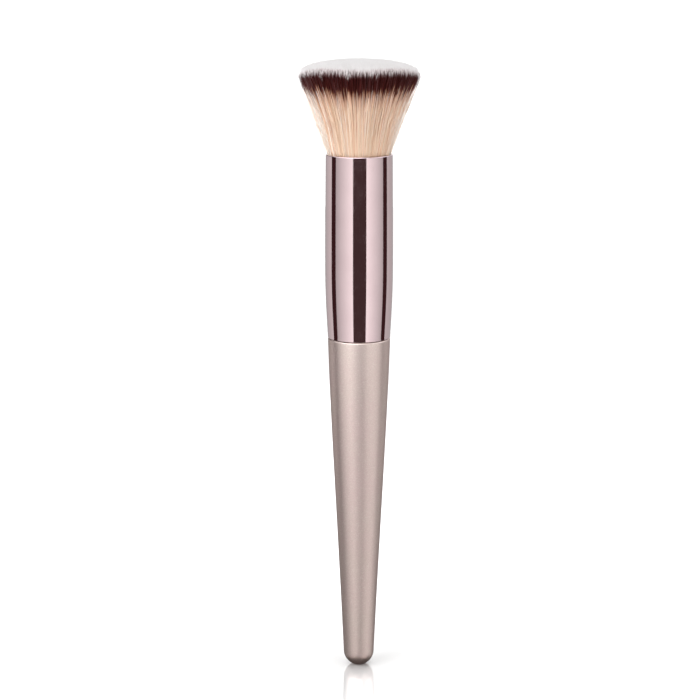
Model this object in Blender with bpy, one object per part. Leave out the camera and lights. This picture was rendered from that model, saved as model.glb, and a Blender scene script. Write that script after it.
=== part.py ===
"""Flat-top makeup brush, modelled as the separate pieces it would come apart into on a bench.

The brush stands on the end of its handle at the origin. The handle, the ferrule and the bristle head
follow each other up the Z axis. Run with: blender --background --python part.py
"""

import math
import random

import bmesh
import bpy

MM = 0.001

# Stack along the axis, from the end of the handle up
HANDLE_LENGTH = 91.6 * MM  # end of the handle to the shoulder that the ferrule meets
FERRULE_LENGTH = 48.4 * MM
RIM_HEIGHT = 20.6 * MM  # mouth of the ferrule to the tips round the rim of the head
DOME_HEIGHT = 4.1 * MM  # rim of the head to its crown
FIT_GAP = 0.3 * MM  # left between pieces that touch or are glued together
WELD = 0.001 * MM  # points closer than this are one point

# Handle: turned wood, with a tenon that goes up into the ferrule
BUTT_FLAT_RADIUS = 1.2 * MM  # sanded flat where the blank was parted off
BUTT_RADIUS = 4.1 * MM
TAPER_BELLY = 0.2 * MM  # how far the taper swells past a straight line
SHOULDER_RADIUS = 8.25 * MM
SHOULDER_ROUND = 0.35 * MM
TENON_RADIUS = 6.8 * MM
TENON_LENGTH = 18.0 * MM
TENON_CHAMFER = 0.8 * MM
GROOVE_WIDTH = 1.6 * MM
GROOVE_DEPTH = 0.7 * MM
GROOVE_COUNT = 3

# Ferrule: drawn aluminium tube, drawn in at the foot to meet the handle
FOOT_RADIUS = 8.27 * MM
BARREL_RADIUS = 8.95 * MM
BARREL_HEIGHT = 18.0 * MM  # foot to the widest place
MOUTH_RADIUS = 8.79 * MM
FERRULE_WALL = 0.45 * MM
LIP_ROUND = 0.15 * MM

# Bristle head: a flared bundle set in resin, tied round its root
STRAND_COUNT = 350
STRAND_SIDES = 3
RIM_RADIUS = 15.75 * MM
ROOT_DEPTH = 20.0 * MM  # mouth of the ferrule down to the resin that the strands stand in
BACKING_THICKNESS = 1.6 * MM
TIP_SCATTER = 0.6 * MM  # how far a strand may fall short of its neighbours
TIE_WIDTH = 2.2 * MM
TIE_THICKNESS = 0.5 * MM
TIE_ROUND = 0.2 * MM

# Thickness of a strand as shares of the distance between strands, and where it is thickest
ROOT_FILL_SHARE = 0.34
MOUTH_FILL_SHARE = 0.38
BODY_FILL_SHARE = 0.44
TIP_FILL_SHARE = 0.17
BODY_HEIGHT_SHARE = 0.86

# Facets round a turned piece, and steps along its curves
OUTER_FACETS = 48
INNER_FACETS = 24
CURVE_STEPS = 7
ROUND_STEPS = 3
SMOOTH_ANGLE = math.radians(35)

# Which finish a face of the bristle head takes
BACKING_INDEX, STRAND_INDEX = 0, 1

# Heights that follow from the sizes above
SHOULDER_Z = HANDLE_LENGTH
TENON_TOP_Z = SHOULDER_Z + TENON_LENGTH
FOOT_Z = SHOULDER_Z + FIT_GAP
MOUTH_Z = FOOT_Z + FERRULE_LENGTH
BACKING_TOP_Z = MOUTH_Z - ROOT_DEPTH
BACKING_BASE_Z = BACKING_TOP_Z - BACKING_THICKNESS
TIE_BASE_Z = BACKING_TOP_Z + FIT_GAP
TIE_TOP_Z = TIE_BASE_Z + TIE_WIDTH


def clear_scene():
    for item in list(bpy.data.objects):
        bpy.data.objects.remove(item, do_unlink=True)


def plain_finish(name, colour, roughness, metallic=0.0):
    """A Principled BSDF material of one colour."""
    finish = bpy.data.materials.new(name)
    finish.use_nodes = True
    shader = finish.node_tree.nodes["Principled BSDF"]
    shader.inputs["Base Color"].default_value = (*colour, 1.0)
    shader.inputs["Roughness"].default_value = roughness
    shader.inputs["Metallic"].default_value = metallic
    return finish


def bristle_finish():
    """Dip-dyed fibre: beige up from the root, a dark brown band, then white tips. The bands follow height."""
    beige = (0.78, 0.56, 0.42, 1.0)
    brown = (0.045, 0.009, 0.010, 1.0)
    white = (0.88, 0.86, 0.85, 1.0)
    band_shares = ((0.0, beige), (0.72, beige), (0.79, brown), (0.95, brown), (1.0, white))
    finish = plain_finish("dip_dyed_fibre", beige[:3], 0.45)
    nodes, links = finish.node_tree.nodes, finish.node_tree.links
    place = nodes.new("ShaderNodeTexCoord")
    split = nodes.new("ShaderNodeSeparateXYZ")
    height = nodes.new("ShaderNodeMapRange")
    height.inputs["From Min"].default_value = MOUTH_Z
    height.inputs["From Max"].default_value = MOUTH_Z + RIM_HEIGHT
    ramp = nodes.new("ShaderNodeValToRGB")
    stops = ramp.color_ramp.elements
    for position, colour in band_shares[1:-1]:
        stops.new(position).color = colour
    stops[0].color = band_shares[0][1]
    stops[-1].position, stops[-1].color = band_shares[-1]
    links.new(place.outputs["Object"], split.inputs[0])
    links.new(split.outputs["Z"], height.inputs["Value"])
    links.new(height.outputs["Result"], ramp.inputs["Fac"])
    links.new(ramp.outputs["Color"], nodes["Principled BSDF"].inputs["Base Color"])
    return finish


def arc(centre, radii, start, end, steps):
    """Points along part of an ellipse, as (radius, height). Angles are in degrees, 0 outward and 90 up."""
    turns = [math.radians(start + (end - start) * step / steps) for step in range(steps + 1)]
    return [
        (centre[0] + radii[0] * math.cos(turn), centre[1] + radii[1] * math.sin(turn))
        for turn in turns
    ]


def object_from(name, shape, *finishes):
    """Stores a bmesh as a smooth-shaded object. Its faces choose among the finishes by material index."""
    bmesh.ops.recalc_face_normals(shape, faces=shape.faces)
    mesh = bpy.data.meshes.new(name)
    shape.to_mesh(mesh)
    shape.free()
    mesh.shade_smooth()
    mesh.set_sharp_from_angle(angle=SMOOTH_ANGLE)
    for finish in finishes:
        mesh.materials.append(finish)
    bpy.context.scene.collection.objects.link(bpy.data.objects.new(name, mesh))


def turned(name, outline, facets, finish):
    """A piece turned about Z. An outline that starts and ends on the axis gives a solid, any other a ring."""
    shape = bmesh.new()
    points = [shape.verts.new((radius, 0.0, height)) for radius, height in outline]
    pairs = list(zip(points, points[1:]))
    if outline[0][0] > 0:
        pairs.append((points[-1], points[0]))
    edges = [shape.edges.new(pair) for pair in pairs]
    bmesh.ops.spin(
        shape,
        geom=points + edges,
        axis=(0, 0, 1),
        angle=math.tau,
        steps=facets,
        use_merge=True,
    )
    bmesh.ops.remove_doubles(shape, verts=shape.verts, dist=WELD)
    object_from(name, shape, finish)


def taper_radius(start, share):
    """Radius of the handle at a share of the way up its taper, which swells most at the peak share."""
    peak_share = 0.75
    swell = share**3 * (1 - share) / (peak_share**3 * (1 - peak_share))
    return start + (SHOULDER_RADIUS - start) * share + TAPER_BELLY * swell


def ferrule_radius(z):
    """Outer radius of the ferrule. It swells from the foot to the barrel and draws in a little to the mouth."""
    rise = (z - FOOT_Z) / BARREL_HEIGHT
    if rise < 1:
        return FOOT_RADIUS + (BARREL_RADIUS - FOOT_RADIUS) * math.sin(math.pi / 2 * max(rise, 0))
    rise = (z - FOOT_Z - BARREL_HEIGHT) / (FERRULE_LENGTH - BARREL_HEIGHT)
    return MOUTH_RADIUS + (BARREL_RADIUS - MOUTH_RADIUS) * math.cos(math.pi / 2 * min(rise, 1))


def bore_radius(z):
    return ferrule_radius(z) - FERRULE_WALL


def heights(low, high, steps):
    return [low + (high - low) * step / steps for step in range(steps + 1)]


def groove_bases():
    """Height of the lower edge of each glue groove, spaced evenly along the tenon."""
    pitch = (TENON_LENGTH - TENON_CHAMFER) / (GROOVE_COUNT + 1)
    return [SHOULDER_Z + pitch * (n + 1) - GROOVE_WIDTH / 2 for n in range(GROOVE_COUNT)]


def make_handle(finish):
    """Ball-ended butt, swelling taper, shoulder, and a grooved tenon that is hidden in the ferrule."""
    flat_angle = math.degrees(math.acos(BUTT_FLAT_RADIUS / BUTT_RADIUS))
    tilt_angle = math.degrees(math.atan((SHOULDER_RADIUS - BUTT_RADIUS) / HANDLE_LENGTH))
    centre_z = math.sqrt(BUTT_RADIUS**2 - BUTT_FLAT_RADIUS**2)
    butt = arc((0, centre_z), (BUTT_RADIUS, BUTT_RADIUS), -flat_angle, -tilt_angle, CURVE_STEPS)
    start, low = butt[-1]
    taper_top = SHOULDER_Z - SHOULDER_ROUND
    taper = [
        (taper_radius(start, step / CURVE_STEPS), z)
        for step, z in enumerate(heights(low, taper_top, CURVE_STEPS))
    ]
    shoulder = arc(
        (SHOULDER_RADIUS - SHOULDER_ROUND, taper_top),
        (SHOULDER_ROUND, SHOULDER_ROUND),
        0,
        90,
        ROUND_STEPS,
    )
    tenon = [(TENON_RADIUS, SHOULDER_Z)]
    for base in groove_bases():
        floor = TENON_RADIUS - GROOVE_DEPTH
        tenon += [
            (TENON_RADIUS, base),
            (floor, base),
            (floor, base + GROOVE_WIDTH),
            (TENON_RADIUS, base + GROOVE_WIDTH),
        ]
    tenon += [
        (TENON_RADIUS, TENON_TOP_Z - TENON_CHAMFER),
        (TENON_RADIUS - TENON_CHAMFER, TENON_TOP_Z),
    ]
    outline = [(0, 0), *butt, *taper[1:-1], *shoulder, *tenon, (0, TENON_TOP_Z)]
    turned("handle", outline, OUTER_FACETS, finish)


def make_ferrule(finish):
    """Thin barrel-shaped tube, open at both ends, with rounded edges."""
    half_wall = FERRULE_WALL / 2
    edge = (half_wall, LIP_ROUND)
    low, high = FOOT_Z + LIP_ROUND, MOUTH_Z - LIP_ROUND
    foot = arc((bore_radius(FOOT_Z) + half_wall, low), edge, -180, 0, ROUND_STEPS)
    mouth = arc((bore_radius(MOUTH_Z) + half_wall, high), edge, 0, 180, ROUND_STEPS)
    barrel = FOOT_Z + BARREL_HEIGHT
    rises = heights(low, barrel, CURVE_STEPS)[1:] + heights(barrel, high, CURVE_STEPS)[1:-1]
    outside = [(ferrule_radius(z), z) for z in rises]
    inside = [(bore_radius(z), z) for z in reversed(rises)]
    turned("ferrule", [*foot, *outside, *mouth, *inside], OUTER_FACETS, finish)


def make_tenon_adhesive(finish):
    """Cured glue between tenon and ferrule. Its ribs fill the tenon's grooves."""
    low, high = SHOULDER_Z + FIT_GAP, TENON_TOP_Z - TENON_CHAMFER
    inner = TENON_RADIUS + FIT_GAP
    rib = TENON_RADIUS - GROOVE_DEPTH + FIT_GAP
    inside = [(inner, low)]
    for base in groove_bases():
        rib_base, rib_top = base + FIT_GAP, base + GROOVE_WIDTH - FIT_GAP
        inside += [(inner, rib_base), (rib, rib_base), (rib, rib_top), (inner, rib_top)]
    inside.append((inner, high))
    outside = [(bore_radius(z) - FIT_GAP, z) for z in heights(high, low, CURVE_STEPS)]
    turned("tenon_adhesive", [*inside, *outside], INNER_FACETS, finish)


def make_resin_plug(finish):
    """Resin poured in on the roots, which fills the ferrule down to the tenon."""
    low, high = TENON_TOP_Z + FIT_GAP, BACKING_BASE_Z - FIT_GAP
    wall = [(bore_radius(z) - FIT_GAP, z) for z in heights(low, high, ROUND_STEPS)]
    turned("resin_plug", [(0, low), *wall, (0, high)], INNER_FACETS, finish)


def tie_outer_radius():
    return min(bore_radius(TIE_BASE_Z), bore_radius(TIE_TOP_Z)) - FIT_GAP


def make_root_tie(finish):
    """Band of thread wound round the bundle where it leaves the resin."""
    outer = tie_outer_radius()
    inner = outer - TIE_THICKNESS
    edge = (TIE_ROUND, TIE_ROUND)
    outline = [
        (inner, TIE_TOP_Z),
        (inner, TIE_BASE_Z),
        *arc((outer - TIE_ROUND, TIE_BASE_Z + TIE_ROUND), edge, -90, 0, ROUND_STEPS),
        *arc((outer - TIE_ROUND, TIE_TOP_Z - TIE_ROUND), edge, 0, 90, ROUND_STEPS),
    ]
    turned("root_tie", outline, INNER_FACETS, finish)


def bundle_radii():
    """Outer radius of the bundle at the backing, at the mouth and round the rim."""
    mouth = bore_radius(MOUTH_Z) - FIT_GAP
    at_tie = tie_outer_radius() - TIE_THICKNESS - FIT_GAP
    climb = (TIE_TOP_Z - BACKING_TOP_Z) / ROOT_DEPTH
    root = (at_tie - climb * mouth) / (1 - climb)
    return root, mouth, RIM_RADIUS


def strand_spacing(bundle_radius):
    """Distance between strands that share the bundle's section evenly."""
    return bundle_radius * math.sqrt(math.pi / STRAND_COUNT)


def strand_sections(spread, rng):
    """(distance from the axis, height, strand radius) from root to tip, for a strand at a share of the spread."""
    root, mouth, rim = bundle_radii()
    crown = MOUTH_Z + RIM_HEIGHT + DOME_HEIGHT * math.sqrt(1 - spread**2)
    tip_z = crown - TIP_SCATTER * rng.random() * spread
    body_z = MOUTH_Z + (tip_z - MOUTH_Z) * BODY_HEIGHT_SHARE
    body = mouth + (rim - mouth) * BODY_HEIGHT_SHARE
    stations = (
        (root, BACKING_TOP_Z, ROOT_FILL_SHARE),
        (mouth, MOUTH_Z, MOUTH_FILL_SHARE),
        (body, body_z, BODY_FILL_SHARE),
        (rim, tip_z, TIP_FILL_SHARE),
    )
    sections = []
    for bundle, height, fill in stations:
        thickness = strand_spacing(bundle) * fill
        sections.append(((bundle - thickness) * spread, height, thickness))
    return sections


def ring(shape, x, y, z, radius, sides, turn):
    """Points of a level ring, in order round its centre."""
    corners = [turn + math.tau * side / sides for side in range(sides)]
    return [
        shape.verts.new((x + radius * math.cos(corner), y + radius * math.sin(corner), z))
        for corner in corners
    ]


def wall_between(shape, lower, upper, material_index):
    """Faces that join two rings with as many points."""
    for side in range(len(lower)):
        ahead = (side + 1) % len(lower)
        face = shape.faces.new((lower[side], lower[ahead], upper[ahead], upper[side]))
        face.material_index = material_index


def add_strand(shape, bearing, turn, sections):
    """One tapering strand with level sections, leaning out along its bearing. Gives back its open foot."""
    rings = []
    for distance, height, radius in sections:
        x, y = distance * math.cos(bearing), distance * math.sin(bearing)
        rings.append(ring(shape, x, y, height, radius, STRAND_SIDES, turn))
    for lower, upper in zip(rings, rings[1:]):
        wall_between(shape, lower, upper, STRAND_INDEX)
    shape.faces.new(rings[-1]).material_index = STRAND_INDEX
    return rings[0]


def loop_edges(shape, points):
    return [
        shape.edges.get(pair) or shape.edges.new(pair)
        for pair in zip(points, points[1:] + points[:1])
    ]


def make_bristle_tuft(backing_finish, strand_finish):
    """Strands in a sunflower pattern, which never cross, grown out of the slice of resin that they stand in.

    The top of the slice is filled round the open feet of the strands, so the tuft is one closed body.
    """
    rng = random.Random(5)
    golden_turn = math.pi * (3 - math.sqrt(5))
    tuft = bmesh.new()
    edge = min(bore_radius(BACKING_BASE_Z), bore_radius(BACKING_TOP_Z)) - FIT_GAP
    base = ring(tuft, 0, 0, BACKING_BASE_Z, edge, OUTER_FACETS, 0)
    top = ring(tuft, 0, 0, BACKING_TOP_Z, edge, OUTER_FACETS, 0)
    tuft.faces.new(base).material_index = BACKING_INDEX
    wall_between(tuft, base, top, BACKING_INDEX)
    rims = loop_edges(tuft, top)
    for index in range(STRAND_COUNT):
        spread = math.sqrt((index + 0.5) / STRAND_COUNT)
        turn = rng.uniform(0, math.tau)
        foot = add_strand(tuft, golden_turn * index, turn, strand_sections(spread, rng))
        rims += loop_edges(tuft, foot)
    bmesh.ops.triangle_fill(tuft, use_beauty=True, edges=rims, normal=(0, 0, 1))
    object_from("bristle_tuft", tuft, backing_finish, strand_finish)


def build():
    clear_scene()
    make_handle(plain_finish("champagne_lacquer", (0.56, 0.45, 0.41), 0.36, 0.75))
    make_ferrule(plain_finish("rose_gold_mirror", (0.80, 0.62, 0.64), 0.06, 1.0))
    make_tenon_adhesive(plain_finish("cured_glue", (0.80, 0.72, 0.50), 0.30))
    resin = plain_finish("root_resin", (0.62, 0.52, 0.36), 0.25)
    make_resin_plug(resin)
    make_root_tie(plain_finish("cotton_thread", (0.82, 0.80, 0.76), 0.85))
    make_bristle_tuft(resin, bristle_finish())


build()
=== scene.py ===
"""Finish of a flat-top makeup brush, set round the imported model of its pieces.

The handle and the ferrule are turned afresh with finer rings than the solids have, and the head is built
of single dip-dyed fibres. The glue, the resin and the tie inside keep their solids and are finished here.
"""
import math
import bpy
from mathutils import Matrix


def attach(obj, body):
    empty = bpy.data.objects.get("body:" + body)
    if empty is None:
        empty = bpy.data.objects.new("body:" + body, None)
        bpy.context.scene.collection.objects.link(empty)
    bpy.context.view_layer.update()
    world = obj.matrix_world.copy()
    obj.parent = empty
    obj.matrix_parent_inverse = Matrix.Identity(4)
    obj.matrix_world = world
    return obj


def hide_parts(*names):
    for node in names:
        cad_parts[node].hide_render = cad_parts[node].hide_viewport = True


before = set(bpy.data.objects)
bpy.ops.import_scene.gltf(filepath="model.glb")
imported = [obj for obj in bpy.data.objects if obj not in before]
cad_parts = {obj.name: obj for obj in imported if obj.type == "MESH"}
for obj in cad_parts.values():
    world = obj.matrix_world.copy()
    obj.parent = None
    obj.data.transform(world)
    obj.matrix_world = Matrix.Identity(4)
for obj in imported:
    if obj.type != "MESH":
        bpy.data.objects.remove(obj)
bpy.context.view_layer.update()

from types import SimpleNamespace

import bpy
import numpy as np
from mathutils import Vector, kdtree

MM = 0.001
BODY = "root"

# Sizes repeated from part.py, from the end of the handle up
SHOULDER_Z = 91.6 * MM
FOOT_Z = 91.9 * MM
FERRULE_LENGTH = 48.4 * MM
MOUTH_Z = FOOT_Z + FERRULE_LENGTH
RIM_Z = MOUTH_Z + 20.6 * MM
DOME_HEIGHT = 4.1 * MM
DOME_FULLNESS = 0.36  # 0.5 would be an ellipse; less is flatter on top and rounder at the rim
WELD = 0.001 * MM

BUTT_FLAT_RADIUS = 1.2 * MM
BUTT_RADIUS = 4.1 * MM
TAPER_BELLY = 0.2 * MM
BELLY_PEAK_SHARE = 0.75
SHOULDER_RADIUS = 8.25 * MM
SHOULDER_ROUND = 0.35 * MM
TENON_RADIUS = 6.8 * MM
TENON_LENGTH = 18.0 * MM
TENON_CHAMFER = 0.8 * MM
GROOVE_WIDTH = 1.6 * MM
GROOVE_DEPTH = 0.7 * MM
GROOVE_COUNT = 3

FOOT_RADIUS = 8.27 * MM
BARREL_RADIUS = 8.95 * MM
BARREL_HEIGHT = 18.0 * MM
MOUTH_RADIUS = 8.79 * MM
FERRULE_WALL = 0.45 * MM
LIP_ROUND = 0.15 * MM
FOOT_LIP_ROUND = 0.05 * MM  # the cut edge at the foot is only just broken
FOOT_DROP = 0.15 * MM  # the turned foot reaches closer to the shoulder, so the joint shows as a thin line

BACKING_TOP_Z = MOUTH_Z - 20.0 * MM
BACKING_BASE_Z = BACKING_TOP_Z - 1.6 * MM
BACKING_RADIUS = 8.2 * MM
BACKING_ROUND = 0.2 * MM
ROOT_BUNDLE_RADIUS = 7.6 * MM
# The bundle's outer radius at heights over the ferrule's mouth, in mm: it opens faster under the band
FLARE_HEIGHTS = (0.0, 8.0, 13.0, 16.5, 19.0, 21.0)
FLARE_RADII = (8.15, 10.05, 11.78, 13.65, 15.05, 15.40)

# How finely the turned pieces are cut
TURNED_FACETS = 144
LONG_STEPS = 26
ROUND_STEPS = 8
LIP_STEPS = 5
HOLDING_GAP = 0.08 * MM  # from a rounded edge to the ring that keeps the shading beside it flat
SMOOTH_ANGLE = math.radians(35)

# The fibres of the head, in rings of equal area from the heart out
LAYERS = ("heart", "core", "inner", "middle", "mantle", "coat")
FIBRES_PER_LAYER = 5500
FIBRE_COUNT = FIBRES_PER_LAYER * len(LAYERS)
FIBRE_SIDES = 3
GOLDEN_TURN = math.pi * (3 - math.sqrt(5))
HEAD_SEED = 7

# At the seven rings of a fibre, from the resin to the tip: half its thickness, and the furthest that it may
# weave out as a share of the bundle's radius
FIBRE_THICKNESS = (0.042 * MM, 0.048 * MM, 0.060 * MM, 0.070 * MM, 0.062 * MM, 0.054 * MM, 0.0)
WIDEST_RINGS = (1.0, 1.0, 1.01, 1.02, 1.03, 1.03, 1.03)
WIDEST_RADIUS = 16.0 * MM
THICKNESS_RANGE = (0.8, 1.2)
FREE_SHARE = 0.5  # how far up from the mouth to the band the ring of the free length lies
TIP_SHARE = 0.45  # how much of the white end keeps its thickness
LEAN_POWER = 2.2  # the higher, the later on its way up a fibre leans to its tip's place
ROOT_SINK = 0.1 * MM
# The least length from the band's base to the tip, and from ring to ring at the band's top
LEAST_DYED_END, LEAST_RING_GAP = 2.0 * MM, 0.4 * MM

# Fibres close up into fine tufts and those into locks, and a few go astray. Places across the head are
# shares of the bundle's radius. A scatter is a pair: what a tuft's fibres share, and what is each one's own
TUFT_COUNT, LOCK_COUNT = 5600, 450
TUFT_TURN = 1.0  # radians from the fibres' own pattern
TUFT_UNEVENNESS = 0.35  # how far tufts lie from an even pattern, as a share of their spacing
TUFT_GATHER, LOCK_GATHER = (0.1, 0.7), 0.12
TIP_SCATTER, OUTER_SCATTER = (0.009, 0.008), (0.010, 0.012)
WEAVE = ((2, (0.006, 0.007)), (3, (0.005, 0.006)))  # rings that weave in and out, each with its scatter
STRAY_SHARE, STRAY_SCATTER = 0.012, 0.045
WIDEST_SPREAD = 1.022  # the furthest out that a tip lies
OUTER_SPREAD = 0.955  # fibres further out than this belong to the paler outside

# The loose pale fringe is thickest at the two sides, and bows out further on the left
FRINGE_SPREAD = 0.982
FRINGE_SHARE, FRINGE_SIDE_SHARE, FRINGE_SIDE_POWER = 0.10, 0.55, 8
FRINGE_THICKNESS_SHARE, FRINGE_FREE_SHARE = 0.38, 0.3
# How far it bows: the least, what chance adds, how rare a large bow is, and how much more the left has
LEAST_BOW, MORE_BOW, BOW_POWER, LEFT_BOW = 0.01, 0.13, 1.5, 0.2
BOW_RINGS = (0.0, 0.2, 1.0, 0.75, 0.45, 0.4, 0.4)  # the share of that at each ring

# How far under the dome the tips end by chance, and what their height gains
SHORT_OWN, SHORT_BY_TUFT = 0.14 * MM, 0.16 * MM
CUT_SHARE, CUT_MOST = 0.06, 2.5 * MM  # fibres that were cut short, and by how much at most
HEART_SHORT_SHARE = 0.45  # how much of that shows at the heart; at the rim all of it does
DOME_RISE, OUTER_RISE = 0.2 * MM, 0.65 * MM

# Dyed band. Its waves are (waves in one turn round the head, height)
BAND_BASE_Z = 156.8 * MM
BAND_TOP_Z = 161.32 * MM
WHITE_REACH = 4.5 * MM
BAND_BASE_WAVES = ((2, -0.3 * MM),)
BAND_TOP_WAVES = ((0, 0.34 * MM), (2, 0.445 * MM), (4, -0.314 * MM))
BAND_BASE_SCATTER, BAND_TOP_SCATTER = (0.5 * MM, 0.6 * MM), (0.13 * MM, 0.13 * MM)
OUTER_TOP_DROP = 0.6 * MM
LOW_TUFT_SHARE, LOW_TUFT_REACH = 0.28, 3.2 * MM  # tufts whose band reaches further down
# Tufts whose white reaches further down, how many of a tuft's fibres do so, and how far
PALE_TUFT_SHARE, PALE_TUFT_FILL, PALE_TUFT_DROP = 0.05, 0.7, (0.2 * MM, 1.6 * MM)

# Tone of the dye, from 0 for the deepest to 1 for the palest. Ghosts are the fibres that hardly took it
MEAN_TONE, OUTER_TONE_RISE = 0.46, 0.16
TONE_SCATTER, LOCK_TONE_SCATTER = (0.17, 0.19), 0.05
LEAST_TONE, MOST_TONE = 0.02, 0.84
GHOST_TONES = (0.88, 0.97)
GHOST_SHARE, OUTER_GHOST_SHARE = 0.002, 0.04
# Ghosts at the sides: pale strays, and at the left so many that they make that edge paler, as painted light
SIDE_GHOSTS_AND_PAINTED_LIGHT = ((-1, 0.62, 4), (1, 0.16, 6))  # side, share there and how closely they keep to it
DEEP_TO_PALE_TONES, PALE_TO_GHOST_TONES = (0.05, 0.85), (0.86, 0.96)

# The fibres' map: its U is the tone and its V the way along the dye
FIBRE_MAP = "OFBake"
TONE_WIDTH = 0.006  # how much of the map's width one side of a fibre takes
# The root's face as (ring, side) marks, with a little height on the map, so that it isn't a bare line
ROOT_MARKS = [(0.0, 2.0), (0.0, 1.0), (0.15, 0.0)]

# Camera, as the photograph was taken
CAMERA_PLACE = (-2.40 * MM, -500 * MM, 193 * MM)
CAMERA_PITCH = math.radians(11.85)
CAMERA_LENS = 98.7
CAMERA_SENSOR = 36.0
CAMERA_NEAR, CAMERA_FAR = 0.01, 50.0

# Places of the colour sockets on a Mix node
FIRST_COLOUR, SECOND_COLOUR, MIXED_COLOUR = 6, 7, 2


def put(tree, kind, sockets=(), **settings):
    """Adds a node. Each socket named is joined to an output, or holds a value."""
    node = tree.nodes.new("ShaderNode" + kind)
    for key, value in settings.items():
        setattr(node, key, value)
    for key, value in dict(sockets).items():
        if isinstance(value, bpy.types.NodeSocket):
            tree.links.new(value, node.inputs[key])
        else:
            node.inputs[key].default_value = value
    return node


def maths(tree, operation, first, second):
    return put(tree, "Math", {0: first, 1: second}, operation=operation).outputs[0]


def ranged(tree, value, source, target):
    """A value carried from one range to another, and held inside it."""
    sockets = {0: value, 1: source[0], 2: source[1], 3: target[0], 4: target[1]}
    return put(tree, "MapRange", sockets).outputs[0]


def ramp(tree, value, stops):
    """Colours along a value. Stops are (position, colour) pairs."""
    node = put(tree, "ValToRGB", {0: value})
    band = node.color_ramp
    while len(band.elements) < len(stops):
        band.elements.new(0.5)
    for element, (position, colour) in zip(band.elements, stops):
        element.position = position
        element.color = (*colour, 1.0)
    return node.outputs["Color"]


def mixed(tree, share, first, second):
    """One colour laid over another by a share."""
    sockets = {0: share}
    for place, colour in ((FIRST_COLOUR, first), (SECOND_COLOUR, second)):
        sockets[place] = colour if isinstance(colour, bpy.types.NodeSocket) else (*colour, 1.0)
    return put(tree, "Mix", sockets, data_type="RGBA").outputs[MIXED_COLOUR]


def seen_ray(tree):
    """One for a ray from the camera and for one sent on by a shine or a clear piece, and otherwise zero."""
    rays = put(tree, "LightPath").outputs
    direct = maths(tree, "MAXIMUM", rays["Is Camera Ray"], rays["Is Glossy Ray"])
    return maths(tree, "MAXIMUM", direct, rays["Is Transmission Ray"])


def new_group(name, inputs, outputs):
    """An empty node group. Inputs are (name, kind, value) and outputs are (name, kind)."""
    tree = bpy.data.node_groups.new(name, "ShaderNodeTree")
    for label, kind, value in inputs:
        socket = tree.interface.new_socket(label, in_out="INPUT", socket_type="NodeSocket" + kind)
        socket.default_value = value
    for label, kind in outputs:
        tree.interface.new_socket(label, in_out="OUTPUT", socket_type="NodeSocket" + kind)
    return tree, tree.nodes.new("NodeGroupInput").outputs, tree.nodes.new("NodeGroupOutput").inputs


def use_group(tree, group, **values):
    """Places a group in a material with its own values. Underscores stand for spaces in socket names."""
    node = tree.nodes.new("ShaderNodeGroup")
    node.node_tree = group
    for key, value in values.items():
        node.inputs[key.replace("_", " ")].default_value = value
    return node.outputs


def object_place(tree, stretch=(1.0, 1.0, 1.0)):
    """Object coordinates, stretched along each axis."""
    place = put(tree, "TexCoord").outputs["Object"]
    return put(tree, "Mapping", {"Vector": place, "Scale": stretch}).outputs[0]


def cloudiness_group():
    """Soft uneven patches with smaller ones in them, as pigment settles in a coat or a casting."""
    tree, given, result = new_group(
        "settled_pigment",
        [("Patch Scale", "Float", 120.0), ("Fine Scale", "Float", 900.0), ("Fine Share", "Float", 0.4)],
        [("Patches", "Float"), ("Height", "Float")],
    )
    place = object_place(tree)
    broad = put(tree, "TexNoise", {"Vector": place, "Scale": given["Patch Scale"], "Detail": 2.0}).outputs[0]
    fine = put(tree, "TexNoise", {"Vector": place, "Scale": given["Fine Scale"], "Detail": 3.0}).outputs[0]
    both = put(tree, "Mix", {0: given["Fine Share"], 2: broad, 3: fine}).outputs[0]
    tree.links.new(ranged(tree, both, (0.35, 0.65), (0.0, 1.0)), result["Patches"])
    tree.links.new(fine, result["Height"])
    return tree


def flake_group():
    """Tiny mica flakes: each one catches the light by its own amount."""
    tree, given, result = new_group(
        "mica_flakes",
        [("Flake Scale", "Float", 5000.0), ("Bright Share", "Float", 0.15)],
        [("Sparkle", "Float"), ("Tone", "Float")],
    )
    cells = put(tree, "TexVoronoi", {"Vector": object_place(tree), "Scale": given["Flake Scale"]})
    chance = put(tree, "SeparateColor", {0: cells.outputs["Color"]}).outputs
    threshold = maths(tree, "SUBTRACT", 1.0, given["Bright Share"])
    tree.links.new(maths(tree, "GREATER_THAN", chance[0], threshold), result["Sparkle"])
    tree.links.new(chance[1], result["Tone"])
    return tree


def turning_group():
    """Faint rings left by turning and polishing on a spindle, as a height and as a mask."""
    tree, given, result = new_group(
        "spindle_marks",
        [("Ring Scale", "Float", 900.0), ("Breakup", "Float", 0.5)],
        [("Height", "Float"), ("Mask", "Float")],
    )
    squashed = object_place(tree, (0.03, 0.03, 1.0))
    sockets = {"Vector": squashed, "Scale": given["Ring Scale"], "Detail": 3.0}
    rings = put(tree, "TexNoise", sockets).outputs[0]
    haze = put(tree, "TexNoise", {"Vector": object_place(tree), "Scale": 260.0, "Detail": 2.0}).outputs[0]
    broken = maths(tree, "MULTIPLY", ranged(tree, haze, (0.4, 0.7), (0.0, 1.0)), given["Breakup"])
    tree.links.new(rings, result["Height"])
    tree.links.new(maths(tree, "MULTIPLY", rings, broken), result["Mask"])
    return tree


def new_finish(name, **values):
    """A material whose shader holds the values that are the same all over."""
    finish = bpy.data.materials.new(name)
    finish.use_nodes = True
    shader = finish.node_tree.nodes["Principled BSDF"]
    for key, value in values.items():
        shader.inputs[key.replace("_", " ")].default_value = value
    return finish, finish.node_tree, shader


def bumped(tree, shader, height, strength, distance):
    node = put(tree, "Bump", {"Strength": strength, "Distance": distance, "Height": height})
    tree.links.new(node.outputs[0], shader.inputs["Normal"])


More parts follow.
